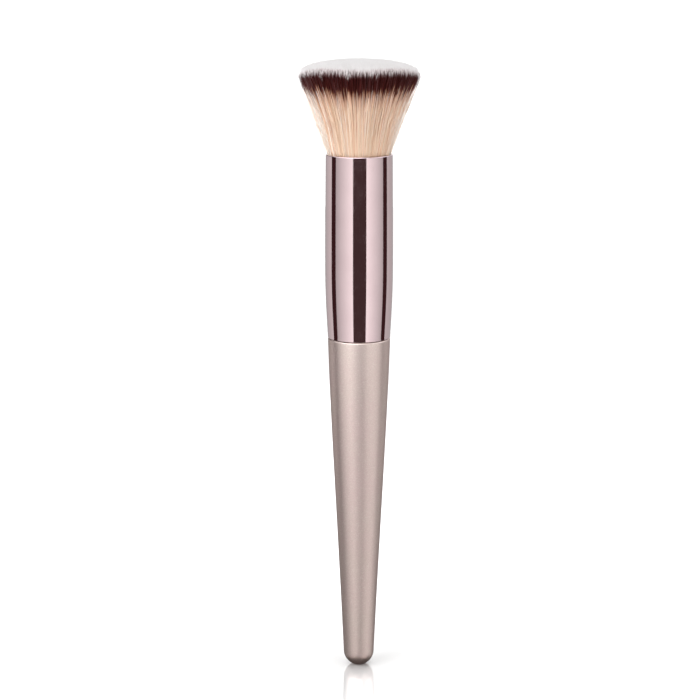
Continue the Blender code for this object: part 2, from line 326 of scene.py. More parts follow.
# Colours of the finishes: two for each that settles in patches, and what lies over them
CHAMPAGNE_PATCHES = ((0.82, 0.69, 0.63), (0.84, 0.67, 0.635))
LACQUER_TINT = (0.35, 0.33, 0.33, 1.0)  # of its shine at the edges
MICA_SHADE, MICA_GLINT = (0.46, 0.37, 0.33), (1.0, 0.90, 0.84)
MICA_SHADE_SHARE, MICA_GLINT_SHARE = 0.16, 0.30
ROSE_METAL_PATCHES = ((0.73, 0.577, 0.594), (0.763, 0.606, 0.623))
GLUE_PATCHES = ((0.66, 0.56, 0.34), (0.84, 0.77, 0.57))
RESIN_PATCHES = ((0.42, 0.31, 0.17), (0.66, 0.54, 0.34))
COTTON_PATCHES = ((0.74, 0.71, 0.65), (0.88, 0.86, 0.81))
# painted shade for the grooves between the thread's turns, and how much of it lies there
COTTON_SHADE, COTTON_SHADE_SHARE = (0.45, 0.42, 0.37), 0.55
# Roughness of each, from one end of its pattern to the other
LACQUER_ROUGHNESS, METAL_ROUGHNESS, FIBRE_ROUGHNESS = (0.37, 0.45), (0.055, 0.11), (0.42, 0.62)
RESIN_ROUGHNESS, COTTON_ROUGHNESS = (0.22, 0.34), (0.78, 0.92)
SPINDLE_POLISH = 0.04  # how much smoother the lacquer is along its spindle marks
WHOLE_RANGE, MIDDLE_RANGE = (0.0, 1.0), (0.3, 0.7)  # of a pattern's value


def lacquer_finish(clouds, flakes, marks):
    """Champagne pearl lacquer, satin, with rosy patches and a fine mica sparkle."""
    finish, tree, shader = new_finish(
        "pearl_lacquer", Metallic=1.0, Coat_Weight=0.10, Coat_Roughness=0.35, Specular_Tint=LACQUER_TINT
    )
    settled = use_group(tree, clouds, Patch_Scale=95.0, Fine_Scale=1500.0, Fine_Share=0.35)
    mica = use_group(tree, flakes, Flake_Scale=5200.0, Bright_Share=0.12)
    rings = use_group(tree, marks, Ring_Scale=700.0, Breakup=0.4)
    pearl = mixed(tree, settled["Patches"], *CHAMPAGNE_PATCHES)
    toned = mixed(tree, ranged(tree, mica["Tone"], WHOLE_RANGE, (0.0, MICA_SHADE_SHARE)), pearl, MICA_SHADE)
    lit = mixed(tree, maths(tree, "MULTIPLY", mica["Sparkle"], MICA_GLINT_SHARE), toned, MICA_GLINT)
    tree.links.new(lit, shader.inputs["Base Color"])
    polish = maths(tree, "MULTIPLY", rings["Mask"], SPINDLE_POLISH)
    rough = maths(tree, "SUBTRACT", ranged(tree, mica["Tone"], WHOLE_RANGE, LACQUER_ROUGHNESS), polish)
    tree.links.new(rough, shader.inputs["Roughness"])
    bumped(tree, shader, settled["Height"], strength=0.12, distance=0.03 * MM)
    return finish


def metal_finish(clouds, marks):
    """Anodised aluminium, polished to a pale rose mirror."""
    finish, tree, shader = new_finish("rose_mirror_metal", Metallic=1.0)
    settled = use_group(tree, clouds, Patch_Scale=150.0, Fine_Scale=1200.0, Fine_Share=0.3)
    rings = use_group(tree, marks, Ring_Scale=1600.0, Breakup=0.8)
    tree.links.new(mixed(tree, settled["Patches"], *ROSE_METAL_PATCHES), shader.inputs["Base Color"])
    tree.links.new(ranged(tree, rings["Mask"], (0.0, 0.5), METAL_ROUGHNESS), shader.inputs["Roughness"])
    bumped(tree, shader, rings["Height"], strength=0.03, distance=0.01 * MM)
    return finish


def fibre_finish():
    """Dip-dyed soft fibre. The map's V is the way along the dye, and its U is each fibre's own tone."""
    finish, tree, shader = new_finish("dip_dyed_fibre", Specular_IOR_Level=0.04)
    own_map = put(tree, "UVMap", uv_map=FIBRE_MAP)
    split = put(tree, "SeparateXYZ", {0: own_map.outputs[0]})
    tone, dye = split.outputs["X"], split.outputs["Y"]
    deep, pale, ghost = (ramp(tree, dye, colours) for colours in (DEEP_DYE, PALE_DYE, GHOST_DYE))
    dyed = mixed(tree, ranged(tree, tone, DEEP_TO_PALE_TONES, (0.0, 1.0)), deep, pale)
    coloured = mixed(tree, ranged(tree, tone, PALE_TO_GHOST_TONES, (0.0, 1.0)), dyed, ghost)
    tree.links.new(coloured, shader.inputs["Base Color"])
    tree.links.new(ranged(tree, dye, (0.5, 0.8), FIBRE_ROUGHNESS), shader.inputs["Roughness"])
    return finish


# The dye runs from 0 in the resin to 1 in the white tip. The mouth and the band have their places on it
DYE_MOUTH, DYE_BAND_BASE, DYE_BAND_TOP = 0.25, 0.50, 0.75
DEEP_DYE = (
    (0.00, (0.40, 0.26, 0.17)),
    (0.24, (0.60, 0.38, 0.25)),
    (0.27, (0.86, 0.52, 0.355)),
    (0.44, (0.74, 0.43, 0.285)),
    (0.485, (0.43, 0.20, 0.125)),
    (0.505, (0.13, 0.033, 0.018)),
    (0.54, (0.055, 0.0068, 0.0050)),
    (0.73, (0.041, 0.0045, 0.0036)),
    (0.755, (0.10, 0.050, 0.050)),
    (0.79, (0.60, 0.51, 0.51)),
    (0.82, (0.88, 0.85, 0.85)),
    (1.00, (0.92, 0.90, 0.90)),
)
PALE_DYE = (
    (0.00, (0.62, 0.45, 0.30)),
    (0.24, (0.90, 0.66, 0.48)),
    (0.27, (0.97, 0.775, 0.60)),
    (0.44, (1.00, 0.78, 0.595)),
    (0.485, (0.82, 0.53, 0.385)),
    (0.51, (0.37, 0.145, 0.085)),
    (0.55, (0.090, 0.018, 0.014)),
    (0.72, (0.066, 0.012, 0.012)),
    (0.745, (0.22, 0.13, 0.13)),
    (0.785, (0.86, 0.79, 0.79)),
    (0.81, (0.95, 0.93, 0.93)),
    (1.00, (0.99, 0.98, 0.98)),
)
GHOST_DYE = (
    (0.00, (0.80, 0.70, 0.58)),
    (0.27, (1.00, 0.92, 0.85)),
    (0.485, (1.00, 0.92, 0.86)),
    (0.52, (0.20, 0.09, 0.085)),
    (0.73, (0.14, 0.065, 0.068)),
    (0.77, (0.97, 0.95, 0.95)),
)


def glue_finish(clouds):
    """Cured glue: pale amber with small trapped bubbles."""
    finish, tree, shader = new_finish("cured_glue", Roughness=0.3)
    settled = use_group(tree, clouds, Patch_Scale=300.0, Fine_Scale=2400.0, Fine_Share=0.5)
    tree.links.new(mixed(tree, settled["Patches"], *GLUE_PATCHES), shader.inputs["Base Color"])
    bubbles = put(tree, "TexVoronoi", {"Vector": object_place(tree), "Scale": 1500.0}).outputs["Distance"]
    bumped(tree, shader, ranged(tree, bubbles, (0.05, 0.3), (0.0, 1.0)), strength=0.3, distance=0.1 * MM)
    return finish


def resin_finish(clouds):
    """Root resin: deep honey, clouded, with a skin that set unevenly."""
    finish, tree, shader = new_finish("root_resin", Coat_Weight=0.4, Coat_Roughness=0.15)
    settled = use_group(tree, clouds, Patch_Scale=220.0, Fine_Scale=1300.0, Fine_Share=0.35)
    tree.links.new(mixed(tree, settled["Patches"], *RESIN_PATCHES), shader.inputs["Base Color"])
    rough = ranged(tree, settled["Height"], MIDDLE_RANGE, RESIN_ROUGHNESS)
    tree.links.new(rough, shader.inputs["Roughness"])
    bumped(tree, shader, settled["Height"], strength=0.25, distance=0.15 * MM)
    return finish


def thread_finish(clouds):
    """Cotton thread wound side by side, each turn round and slightly fuzzy, with painted shade in the
    grooves between turns.
    """
    finish, tree, shader = new_finish("cotton_thread", Sheen_Weight=0.4, Sheen_Roughness=0.5)
    settled = use_group(tree, clouds, Patch_Scale=500.0, Fine_Scale=4200.0, Fine_Share=0.6)
    fuzz = {"Distortion": 0.6, "Detail": 2.0, "Detail Scale": 1.5}
    sockets = {"Vector": object_place(tree), "Scale": 1000.0, **fuzz}
    turns = put(tree, "TexWave", sockets, wave_type="BANDS", bands_direction="Z").outputs["Fac"]
    cotton = mixed(tree, settled["Patches"], *COTTON_PATCHES)
    # painted shade, darkest in the grooves between the turns
    between = ranged(tree, turns, (0.0, 0.5), (COTTON_SHADE_SHARE, 0.0))
    tree.links.new(mixed(tree, between, cotton, COTTON_SHADE), shader.inputs["Base Color"])
    rough = ranged(tree, settled["Height"], MIDDLE_RANGE, COTTON_ROUGHNESS)
    tree.links.new(rough, shader.inputs["Roughness"])
    bumped(tree, shader, turns, strength=0.7, distance=0.12 * MM)
    return finish


def arc(centre, radii, start, end, steps):
    """Points along part of an ellipse, as (radius, height). Angles are in degrees, 0 outward and 90 up."""
    (radius, height), (wide, tall) = centre, radii
    turns = [math.radians(turn) for turn in levels(start, end, steps)]
    return [(radius + wide * math.cos(turn), height + tall * math.sin(turn)) for turn in turns]


def levels(low, high, steps):
    return [low + (high - low) * step / steps for step in range(steps + 1)]


def turn_profile(name, outline, finish):
    """Draws an outline of (radius, height) points one after another and spins it about the brush's axis."""
    bpy.ops.object.select_all(action="DESELECT")
    # The line grows from one point, which is a small plane merged at its middle
    first_radius, first_height = outline[0]
    bpy.ops.mesh.primitive_plane_add(size=MM, location=(first_radius, 0.0, first_height))
    piece = bpy.context.object
    piece.name = piece.data.name = name
    bpy.ops.object.transform_apply(location=True, rotation=True, scale=True)
    bpy.ops.object.mode_set(mode="EDIT")
    bpy.ops.mesh.select_mode(type="VERT")
    bpy.ops.mesh.select_all(action="SELECT")
    bpy.ops.mesh.merge(type="CENTER")
    for (radius, height), (next_radius, next_height) in zip(outline, outline[1:]):
        step = (next_radius - radius, 0.0, next_height - height)
        bpy.ops.mesh.extrude_region_move(TRANSFORM_OT_translate={"value": step})
    bpy.ops.mesh.select_all(action="SELECT")
    bpy.ops.mesh.spin(steps=TURNED_FACETS, angle=math.tau, center=(0, 0, 0), axis=(0, 0, 1))
    bpy.ops.mesh.select_all(action="SELECT")
    bpy.ops.mesh.remove_doubles(threshold=WELD)
    bpy.ops.mesh.normals_make_consistent(inside=False)
    bpy.ops.object.mode_set(mode="OBJECT")
    bpy.ops.object.shade_smooth_by_angle(angle=SMOOTH_ANGLE)
    piece.data.materials.append(finish)
    return piece


def taper_radius(start, share):
    swell = share**3 * (1 - share) / (BELLY_PEAK_SHARE**3 * (1 - BELLY_PEAK_SHARE))
    return start + (SHOULDER_RADIUS - start) * share + TAPER_BELLY * swell


def handle_outline():
    """Ball-ended butt, swelling taper, rounded shoulder and the grooved tenon."""
    flat_angle = math.degrees(math.acos(BUTT_FLAT_RADIUS / BUTT_RADIUS))
    tilt_angle = math.degrees(math.atan((SHOULDER_RADIUS - BUTT_RADIUS) / SHOULDER_Z))
    centre_z = math.sqrt(BUTT_RADIUS**2 - BUTT_FLAT_RADIUS**2)
    butt = arc((0, centre_z), (BUTT_RADIUS, BUTT_RADIUS), -flat_angle, -tilt_angle, 2 * ROUND_STEPS)
    start, low = butt[-1]
    taper_top = SHOULDER_Z - SHOULDER_ROUND
    rises = levels(low, taper_top, 2 * LONG_STEPS)
    taper = [(taper_radius(start, step / (2 * LONG_STEPS)), z) for step, z in enumerate(rises)]
    corner = (SHOULDER_RADIUS - SHOULDER_ROUND, taper_top)
    shoulder = arc(corner, (SHOULDER_ROUND, SHOULDER_ROUND), 0, 90, ROUND_STEPS)
    tenon = [(TENON_RADIUS, SHOULDER_Z)]
    pitch = (TENON_LENGTH - TENON_CHAMFER) / (GROOVE_COUNT + 1)
    for groove in range(GROOVE_COUNT):
        base = SHOULDER_Z + pitch * (groove + 1) - GROOVE_WIDTH / 2
        floor = TENON_RADIUS - GROOVE_DEPTH
        tenon += [
            (TENON_RADIUS, base),
            (floor, base),
            (floor, base + GROOVE_WIDTH),
            (TENON_RADIUS, base + GROOVE_WIDTH),
        ]
    tenon_top = SHOULDER_Z + TENON_LENGTH
    tenon += [(TENON_RADIUS, tenon_top - TENON_CHAMFER), (TENON_RADIUS - TENON_CHAMFER, tenon_top)]
    held = (SHOULDER_RADIUS, taper_top - HOLDING_GAP)
    return [(0, 0), *butt, *taper[1:-1], held, *shoulder, *tenon, (0, tenon_top)]


def ferrule_radius(z):
    rise = (z - FOOT_Z) / BARREL_HEIGHT
    if rise < 1:
        return FOOT_RADIUS + (BARREL_RADIUS - FOOT_RADIUS) * math.sin(math.pi / 2 * max(rise, 0))
    rise = (z - FOOT_Z - BARREL_HEIGHT) / (FERRULE_LENGTH - BARREL_HEIGHT)
    return MOUTH_RADIUS + (BARREL_RADIUS - MOUTH_RADIUS) * math.cos(math.pi / 2 * min(rise, 1))


def ferrule_outline():
    """Thin barrel-shaped tube with rounded lips, drawn all the way round its wall."""
    half_wall = FERRULE_WALL / 2
    low, high = FOOT_Z - FOOT_DROP + FOOT_LIP_ROUND, MOUTH_Z - LIP_ROUND
    outer_edge, round_off = ferrule_radius(low), (FOOT_LIP_ROUND, FOOT_LIP_ROUND)
    foot = [
        *arc((outer_edge - FERRULE_WALL + FOOT_LIP_ROUND, low), round_off, -180, -90, LIP_STEPS),
        *arc((outer_edge - FOOT_LIP_ROUND, low), round_off, -90, 0, LIP_STEPS),
    ]
    mouth = arc((MOUTH_RADIUS - half_wall, high), (half_wall, LIP_ROUND), 0, 180, 2 * LIP_STEPS)
    barrel = FOOT_Z + BARREL_HEIGHT
    rises = levels(low, barrel, LONG_STEPS)[1:] + levels(barrel, high, LONG_STEPS)[1:-1]
    rises = [low + HOLDING_GAP, *rises, high - HOLDING_GAP]
    outside = [(ferrule_radius(z), z) for z in rises]
    inside = [(ferrule_radius(z) - FERRULE_WALL, z) for z in reversed(rises)]
    return [*foot, *outside, *mouth, *inside, foot[0]]


def backing_outline():
    """The slice of resin that the fibres stand in."""
    low, high, inner = BACKING_BASE_Z, BACKING_TOP_Z, BACKING_RADIUS - BACKING_ROUND
    radii = (BACKING_ROUND, BACKING_ROUND)
    under = arc((inner, low + BACKING_ROUND), radii, -90, 0, LIP_STEPS)
    over = arc((inner, high - BACKING_ROUND), radii, 0, 90, LIP_STEPS)
    return [(0, low), *under, *over, (0, high)]


def gathered(points, count, rng):
    """Which of a number of tufts each point of the unit disc falls in, and where their middles are."""
    order = np.arange(count)
    reach = np.sqrt((order + 0.5) / count)
    turn = order * GOLDEN_TURN + TUFT_TURN
    middles = np.stack((reach * np.cos(turn), reach * np.sin(turn)), axis=1)
    middles += rng.normal(0.0, TUFT_UNEVENNESS / math.sqrt(count), middles.shape)
    tree = kdtree.KDTree(count)
    for place, (x, y) in enumerate(middles):
        tree.insert((x, y, 0.0), place)
    tree.balance()
    nearest = np.array([tree.find((x, y, 0.0))[1] for x, y in points])
    return nearest, middles


def bundle_radius(z):
    """Outer radius of the bundle, in the ferrule and above it."""
    inside = np.clip((z - BACKING_TOP_Z) / (MOUTH_Z - BACKING_TOP_Z), 0, 1)
    held = ROOT_BUNDLE_RADIUS + (FLARE_RADII[0] * MM - ROOT_BUNDLE_RADIUS) * inside
    return np.where(z < MOUTH_Z, held, MM * np.interp((z - MOUTH_Z) / MM, FLARE_HEIGHTS, FLARE_RADII))


def lay_out_bundle(rng):
    """Each fibre's place in the bundle, from the heart out, its tuft, its lock, and whether it is fringe."""
    order = np.arange(FIBRE_COUNT)
    spread = np.sqrt((order + 0.5) / FIBRE_COUNT)
    turn = order * GOLDEN_TURN
    start = np.stack((spread * np.cos(turn), spread * np.sin(turn)), axis=1)
    tuft, tuft_middles = gathered(start, TUFT_COUNT, rng)
    lock, lock_middles = gathered(start, LOCK_COUNT, rng)
    sideways = start[:, 0] / spread  # from -1 at the left to 1 at the right
    fringe_share = FRINGE_SHARE + FRINGE_SIDE_SHARE * sideways**FRINGE_SIDE_POWER
    return SimpleNamespace(
        spread=spread,
        start=start,
        tuft=tuft,
        lock=lock,
        to_tuft=tuft_middles[tuft] - start,
        to_lock=lock_middles[lock] - start,
        outer=np.clip((spread - OUTER_SPREAD) / (1 - OUTER_SPREAD), 0, 1),
        sideways=sideways,
        way_round=np.arctan2(start[:, 0], start[:, 1]),
        fringe=(spread > FRINGE_SPREAD) & (rng.random(FIBRE_COUNT) < fringe_share),
    )


def scattered(bundle, rng, scatter, wide=1):
    """Values by chance, of which the fibres of one tuft share a part and each has a part of its own."""
    by_tuft, by_fibre = scatter
    shared = rng.normal(0.0, by_tuft, (TUFT_COUNT, wide))[bundle.tuft]
    return shared + rng.normal(0.0, by_fibre, (FIBRE_COUNT, wide))


def waved(bundle, waves):
    """Heights that rise and fall round the head, the more the further out."""
    return sum(height * np.cos(count * bundle.way_round) for count, height in waves) * bundle.spread


def fibre_tips(bundle, rng):
    """Where each tip lies across the head, and how high it ends."""
    gather = rng.uniform(*TUFT_GATHER, TUFT_COUNT)[bundle.tuft][:, None]
    place = bundle.start + gather * bundle.to_tuft + LOCK_GATHER * bundle.to_lock
    place += scattered(bundle, rng, TIP_SCATTER, 2)
    stray = rng.random(FIBRE_COUNT) < STRAY_SHARE
    place[stray] += rng.normal(0.0, STRAY_SCATTER, (stray.sum(), 2))
    place *= 1 + bundle.outer[:, None] * scattered(bundle, rng, OUTER_SCATTER)
    spread = np.linalg.norm(place, axis=1)
    place *= np.minimum(1.0, WIDEST_SPREAD / spread)[:, None]

    short = rng.exponential(SHORT_OWN, FIBRE_COUNT) + rng.exponential(SHORT_BY_TUFT, TUFT_COUNT)[bundle.tuft]
    short += (rng.random(FIBRE_COUNT) < CUT_SHARE) * rng.uniform(0, CUT_MOST, FIBRE_COUNT)
    short *= HEART_SHORT_SHARE + (1 - HEART_SHORT_SHARE) * bundle.spread**2
    dome = DOME_HEIGHT * np.clip(1 - spread**2, 0, 1) ** DOME_FULLNESS
    return place, RIM_Z + dome - short + OUTER_RISE * bundle.outer + DOME_RISE


def band_heights(bundle, rng):
    """Where the dark band starts and ends on each fibre."""
    base_z = BAND_BASE_Z + scattered(bundle, rng, BAND_BASE_SCATTER)[:, 0] + waved(bundle, BAND_BASE_WAVES)
    lower = rng.uniform(0, LOW_TUFT_REACH, TUFT_COUNT) * (rng.random(TUFT_COUNT) < LOW_TUFT_SHARE)
    base_z -= lower[bundle.tuft]
    top_z = BAND_TOP_Z + waved(bundle, BAND_TOP_WAVES) - OUTER_TOP_DROP * bundle.outer
    top_z += scattered(bundle, rng, BAND_TOP_SCATTER)[:, 0]
    pale = (rng.random(TUFT_COUNT) < PALE_TUFT_SHARE)[bundle.tuft]
    pale &= rng.random(FIBRE_COUNT) < PALE_TUFT_FILL
    top_z -= pale * rng.uniform(*PALE_TUFT_DROP, TUFT_COUNT)[bundle.tuft]
    return base_z, top_z


def fibre_tones(bundle, rng):
    """How pale the dye came out on each fibre. The fringe and a few others are ghosts; the many at the left
    also make the left edge paler, as painted light from that side.
    """
    tone = MEAN_TONE + scattered(bundle, rng, TONE_SCATTER)[:, 0]
    tone += rng.normal(0, LOCK_TONE_SCATTER, LOCK_COUNT)[bundle.lock] + OUTER_TONE_RISE * bundle.outer
    tone = np.clip(tone, LEAST_TONE, MOST_TONE)
    # the extra ghosts at the left are painted light on that side
    ghost_and_painted_light_share = OUTER_GHOST_SHARE
    for side, share, power in SIDE_GHOSTS_AND_PAINTED_LIGHT:
        ghost_and_painted_light_share = ghost_and_painted_light_share + share * np.clip(side * bundle.sideways, 0, 1) ** power
    ghost = bundle.fringe | (rng.random(FIBRE_COUNT) < GHOST_SHARE + bundle.outer * ghost_and_painted_light_share)
    tone[ghost] = rng.uniform(*GHOST_TONES, ghost.sum())
    return tone


def fibre_paths(rng):
    """Middle line, thickness, place along the dye and tone of every fibre, from the heart out."""
    bundle = lay_out_bundle(rng)
    tip_place, tip_z = fibre_tips(bundle, rng)
    base_z, top_z = band_heights(bundle, rng)
    tone = fibre_tones(bundle, rng)
    fringe = bundle.fringe

    # Seven rings along each fibre: root, mouth, free length, the band's base and top, the white end and tip
    free_z = MOUTH_Z + (BAND_BASE_Z - MOUTH_Z) * np.where(fringe, FRINGE_FREE_SHARE, FREE_SHARE)
    base_z = np.minimum(base_z, tip_z - LEAST_DYED_END)
    upper_z = np.maximum(np.minimum(top_z, tip_z - LEAST_RING_GAP), base_z + LEAST_RING_GAP)
    end_z = upper_z + (tip_z - upper_z) * TIP_SHARE
    fixed = [np.full(FIBRE_COUNT, z) for z in (BACKING_TOP_Z - ROOT_SINK, MOUTH_Z)]
    heights = np.stack((*fixed, free_z, base_z, upper_z, end_z, tip_z), axis=1)

    # Each leans from its own place in the ferrule to its tip's place, and weaves in and out on the way
    lean = (np.clip((heights - MOUTH_Z) / (RIM_Z - MOUTH_Z), 0, 1) ** LEAN_POWER)[:, :, None]
    unit = bundle.start[:, None, :] * (1 - lean) + tip_place[:, None, :] * lean
    for ring, scatter in WEAVE:
        unit[:, ring] += scattered(bundle, rng, scatter, 2)
    unit *= np.minimum(1.0, np.array(WIDEST_RINGS) / np.linalg.norm(unit, axis=2))[:, :, None]
    bow = (LEAST_BOW + MORE_BOW * rng.random(FIBRE_COUNT) ** BOW_POWER) * (1 - LEFT_BOW * bundle.sideways)
    bow = np.where(fringe, bow, 0.0)[:, None] * np.array(BOW_RINGS)
    level = unit * (bundle_radius(heights) * (1 + bow))[:, :, None]
    level *= np.minimum(1.0, WIDEST_RADIUS / np.linalg.norm(level, axis=2))[:, :, None]

    places = np.concatenate((level, heights[:, :, None]), axis=2)
    dye = dye_along(heights, base_z[:, None], top_z[:, None])
    thickness = np.array(FIBRE_THICKNESS) * rng.uniform(*THICKNESS_RANGE, FIBRE_COUNT)[:, None]
    thickness[fringe] *= FRINGE_THICKNESS_SHARE
    return places, thickness, dye, tone


def dye_along(z, base_z, top_z):
    """How far along its fibre's own dye a height is. Mouth, band base and band top each have their place."""
    below = DYE_MOUTH * (z - BACKING_TOP_Z) / (MOUTH_Z - BACKING_TOP_Z)
    free = DYE_MOUTH + (DYE_BAND_BASE - DYE_MOUTH) * (z - MOUTH_Z) / (base_z - MOUTH_Z)
    band = DYE_BAND_BASE + (DYE_BAND_TOP - DYE_BAND_BASE) * (z - base_z) / (top_z - base_z)
    white = DYE_BAND_TOP + (1 - DYE_BAND_TOP) * (z - top_z) / WHITE_REACH
    dye = np.where(z < MOUTH_Z, below, np.where(z < base_z, free, np.where(z < top_z, band, white)))
    return np.clip(dye, 0.0, 1.0)


def fibre_faces(rings):
    """One fibre's faces as corner numbers, and a mark for each corner as (ring, side), for the map.

    A side past the last one closes the round on the map.
    """
    faces, marks = [], []
    last, tip = (rings - 2) * FIBRE_SIDES, (rings - 1) * FIBRE_SIDES
    for ring in range(rings - 2):
        for side in range(FIBRE_SIDES):
            ahead = (side + 1) % FIBRE_SIDES
            low, high = ring * FIBRE_SIDES, (ring + 1) * FIBRE_SIDES
            faces.append((low + side, low + ahead, high + ahead, high + side))
            marks += [(ring, side), (ring, side + 1), (ring + 1, side + 1), (ring + 1, side)]
    for side in range(FIBRE_SIDES):
        faces.append((last + side, last + (side + 1) % FIBRE_SIDES, tip))
        marks += [(rings - 2, side), (rings - 2, side + 1), (rings - 1, side + 0.5)]
    faces.append(tuple(reversed(range(FIBRE_SIDES))))
    return faces, np.array(marks + ROOT_MARKS)


def strand_mesh(name, places, thickness, dye, tone, rng):
    """Fine tapering three-sided fibres as one mesh, each closed at its root and drawn to a point."""
    count, rings = places.shape[:2]
    turn = rng.uniform(0, math.tau, count)[:, None] + math.tau * np.arange(FIBRE_SIDES) / FIBRE_SIDES
    across = np.stack((np.cos(turn), np.sin(turn), np.zeros_like(turn)), axis=2)
    rounds = places[:, :-1, None, :] + thickness[:, :-1, None, None] * across[:, None, :, :]
    points = np.concatenate((rounds.reshape(count, -1, 3), places[:, -1:, :]), axis=1)

    faces, marks = fibre_faces(rings)
    corners = np.concatenate(faces) + points.shape[1] * np.arange(count)[:, None]
    sizes = np.tile([len(face) for face in faces], count)
    ring_low = np.floor(marks[:, 0]).astype(int)
    ring_high = np.minimum(ring_low + 1, rings - 1)
    part = marks[:, 0] - ring_low
    map_height = dye[:, ring_low] * (1 - part) + dye[:, ring_high] * part
    map_across = tone[:, None] + TONE_WIDTH * marks[None, :, 1]

    mesh = bpy.data.meshes.new(name)
    mesh.vertices.add(points.size // 3)
    mesh.vertices.foreach_set("co", points.reshape(-1))
    mesh.loops.add(corners.size)
    mesh.loops.foreach_set("vertex_index", corners.reshape(-1))
    mesh.polygons.add(sizes.size)
    mesh.polygons.foreach_set("loop_start", np.cumsum(sizes) - sizes)
    own_map = mesh.uv_layers.new(name=FIBRE_MAP)
    own_map.data.foreach_set("uv", np.stack((map_across, map_height), axis=2).reshape(-1))
    mesh.update(calc_edges=True)
    mesh.validate()
    mesh.shade_smooth()
    piece = bpy.data.objects.new(name, mesh)
    bpy.context.scene.collection.objects.link(piece)
    return piece


def make_head(finish, resin):
    """The bundle of fibres, in rings from the heart out, and the slice of resin that holds their roots."""
    rng = np.random.default_rng(HEAD_SEED)
    places, thickness, dye, tone = fibre_paths(rng)
    made = []
    for step, layer in enumerate(LAYERS):
        own = slice(step * FIBRES_PER_LAYER, (step + 1) * FIBRES_PER_LAYER)
        piece = strand_mesh("fibres_" + layer, places[own], thickness[own], dye[own], tone[own], rng)
        piece.data.materials.append(finish)
        made.append(piece)
    backing = turn_profile("fibre_backing", backing_outline(), resin)
    for piece in [*made, backing]:
        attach(piece, BODY)
        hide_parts("bristle_tuft")


def finish_node(name, finish):
    """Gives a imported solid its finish."""
    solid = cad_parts[name]
    solid.data.materials.clear()
    solid.data.materials.append(finish)


def make_brush():
    clouds, flakes, marks = cloudiness_group(), flake_group(), turning_group()
    lacquer, metal = lacquer_finish(clouds, flakes, marks), metal_finish(clouds, marks)
    resin = resin_finish(clouds)
    for name, outline, finish, slot_name in (
        ("handle", handle_outline(), lacquer, "handle_lacquer"),
        ("ferrule", ferrule_outline(), metal, "ferrule_metal"),
    ):
        piece = turn_profile("turned_" + name, outline, finish)
        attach(piece, BODY)
        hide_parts(name)
    make_head(fibre_finish(), resin)
    finish_node("tenon_adhesive", glue_finish(clouds))
    finish_node("resin_plug", resin)
    finish_node("root_tie", thread_finish(clouds))


# Studio. Panels stand round the brush and are seen only in its shine. Bearings are in degrees from the
# camera's side of the brush, positive to the right, and glows are (bearing, brightness) pairs
PANEL_DISTANCE = 0.95
PANEL_STEP = math.radians(3.0)
CARD_FACETS, FLOOR_FACETS = 48, 96
WHITE_PANEL, COOL_PANEL, WARM_PANEL = (1.0, 0.985, 0.98), (1.0, 1.03, 1.07), (1.0, 0.85, 0.80)
DARK_PANEL, GAP_PANEL = (1.0, 0.56, 0.57), (1.0, 0.36, 0.38)

# Rows of panels by height. The ferrule shows little but the mirror row; the satin handle blends all four
GROUND_ROW, LOW_ROW, MIRROR_ROW, HIGH_ROW = (-0.80, -0.48), (-0.48, -0.28), (-0.28, 0.14), (0.14, 0.60)

# Where the dark cards and the dark gaps between the soft boxes and the drapes of the mirror row stand
FRONT_LEFT, FRONT_RIGHT = -21.0, 24.2
GAP_LEFT_BACK, GAP_LEFT_FRONT = -107.5, -86.5
GAP_RIGHT_FRONT, GAP_RIGHT_BACK = 88.5, 108.5
BACK_RIGHT, BACK_LEFT = 170.0, 190.0
CARD_GLOW, GAP_GLOW = 0.065, 0.045

# The rows over and under the mirror row give the handle its soft stripes. The high and the low row each
# have a soft box that is brightest a little left of the front and a weaker one on the right, and the ground
# row has a faint glow on the right
HIGH_GLOW = (
    (-156.0, 0.0), (-108.0, 0.0), (-60.0, 2.7), (-12.0, 4.3), (0.0, 4.3), (35.0, 0.5), (42.0, 0.5),
    (75.0, 1.9), (90.0, 1.9), (130.0, 0.85), (156.0, 0.85),
)
LOW_GLOW = (
    (-180.0, 0.15), (-80.0, 0.2), (-35.0, 0.65), (-15.0, 1.25), (-5.0, 1.25), (24.0, 0.15), (36.0, 0.15),
    (66.0, 1.05), (85.0, 1.05), (130.0, 0.15), (180.0, 0.15),
)
GROUND_GLOW = (
    (-180.0, 0.3), (20.0, 0.3), (36.0, 0.7), (50.0, 0.7), (68.0, 0.35), (150.0, 0.35), (180.0, 0.3),
)
PANELS = (
    # name, colour, row and glow
    ("card_front", DARK_PANEL, MIRROR_ROW, ((FRONT_LEFT, CARD_GLOW), (FRONT_RIGHT, CARD_GLOW))),
    ("softbox_left", WHITE_PANEL, MIRROR_ROW, ((GAP_LEFT_FRONT, 0.53), (FRONT_LEFT, 1.27))),
    ("softbox_right", WHITE_PANEL, MIRROR_ROW, ((FRONT_RIGHT, 1.27), (GAP_RIGHT_FRONT, 0.54))),
    ("gap_left", GAP_PANEL, MIRROR_ROW, ((GAP_LEFT_BACK, GAP_GLOW), (GAP_LEFT_FRONT, GAP_GLOW))),
    ("gap_right", GAP_PANEL, MIRROR_ROW, ((GAP_RIGHT_FRONT, GAP_GLOW), (GAP_RIGHT_BACK, GAP_GLOW))),
    ("drape_left", WHITE_PANEL, MIRROR_ROW, ((-BACK_RIGHT, 0.40), (GAP_LEFT_BACK, 0.75))),
    ("drape_right", WHITE_PANEL, MIRROR_ROW, ((GAP_RIGHT_BACK, 0.64), (BACK_RIGHT, 0.45))),
    ("card_back", DARK_PANEL, MIRROR_ROW, ((BACK_RIGHT, CARD_GLOW), (BACK_LEFT, CARD_GLOW))),
    ("glow_high", COOL_PANEL, HIGH_ROW, HIGH_GLOW),
    ("glow_low", WHITE_PANEL, LOW_ROW, LOW_GLOW),
    ("glow_ground", WHITE_PANEL, GROUND_ROW, GROUND_GLOW),
)
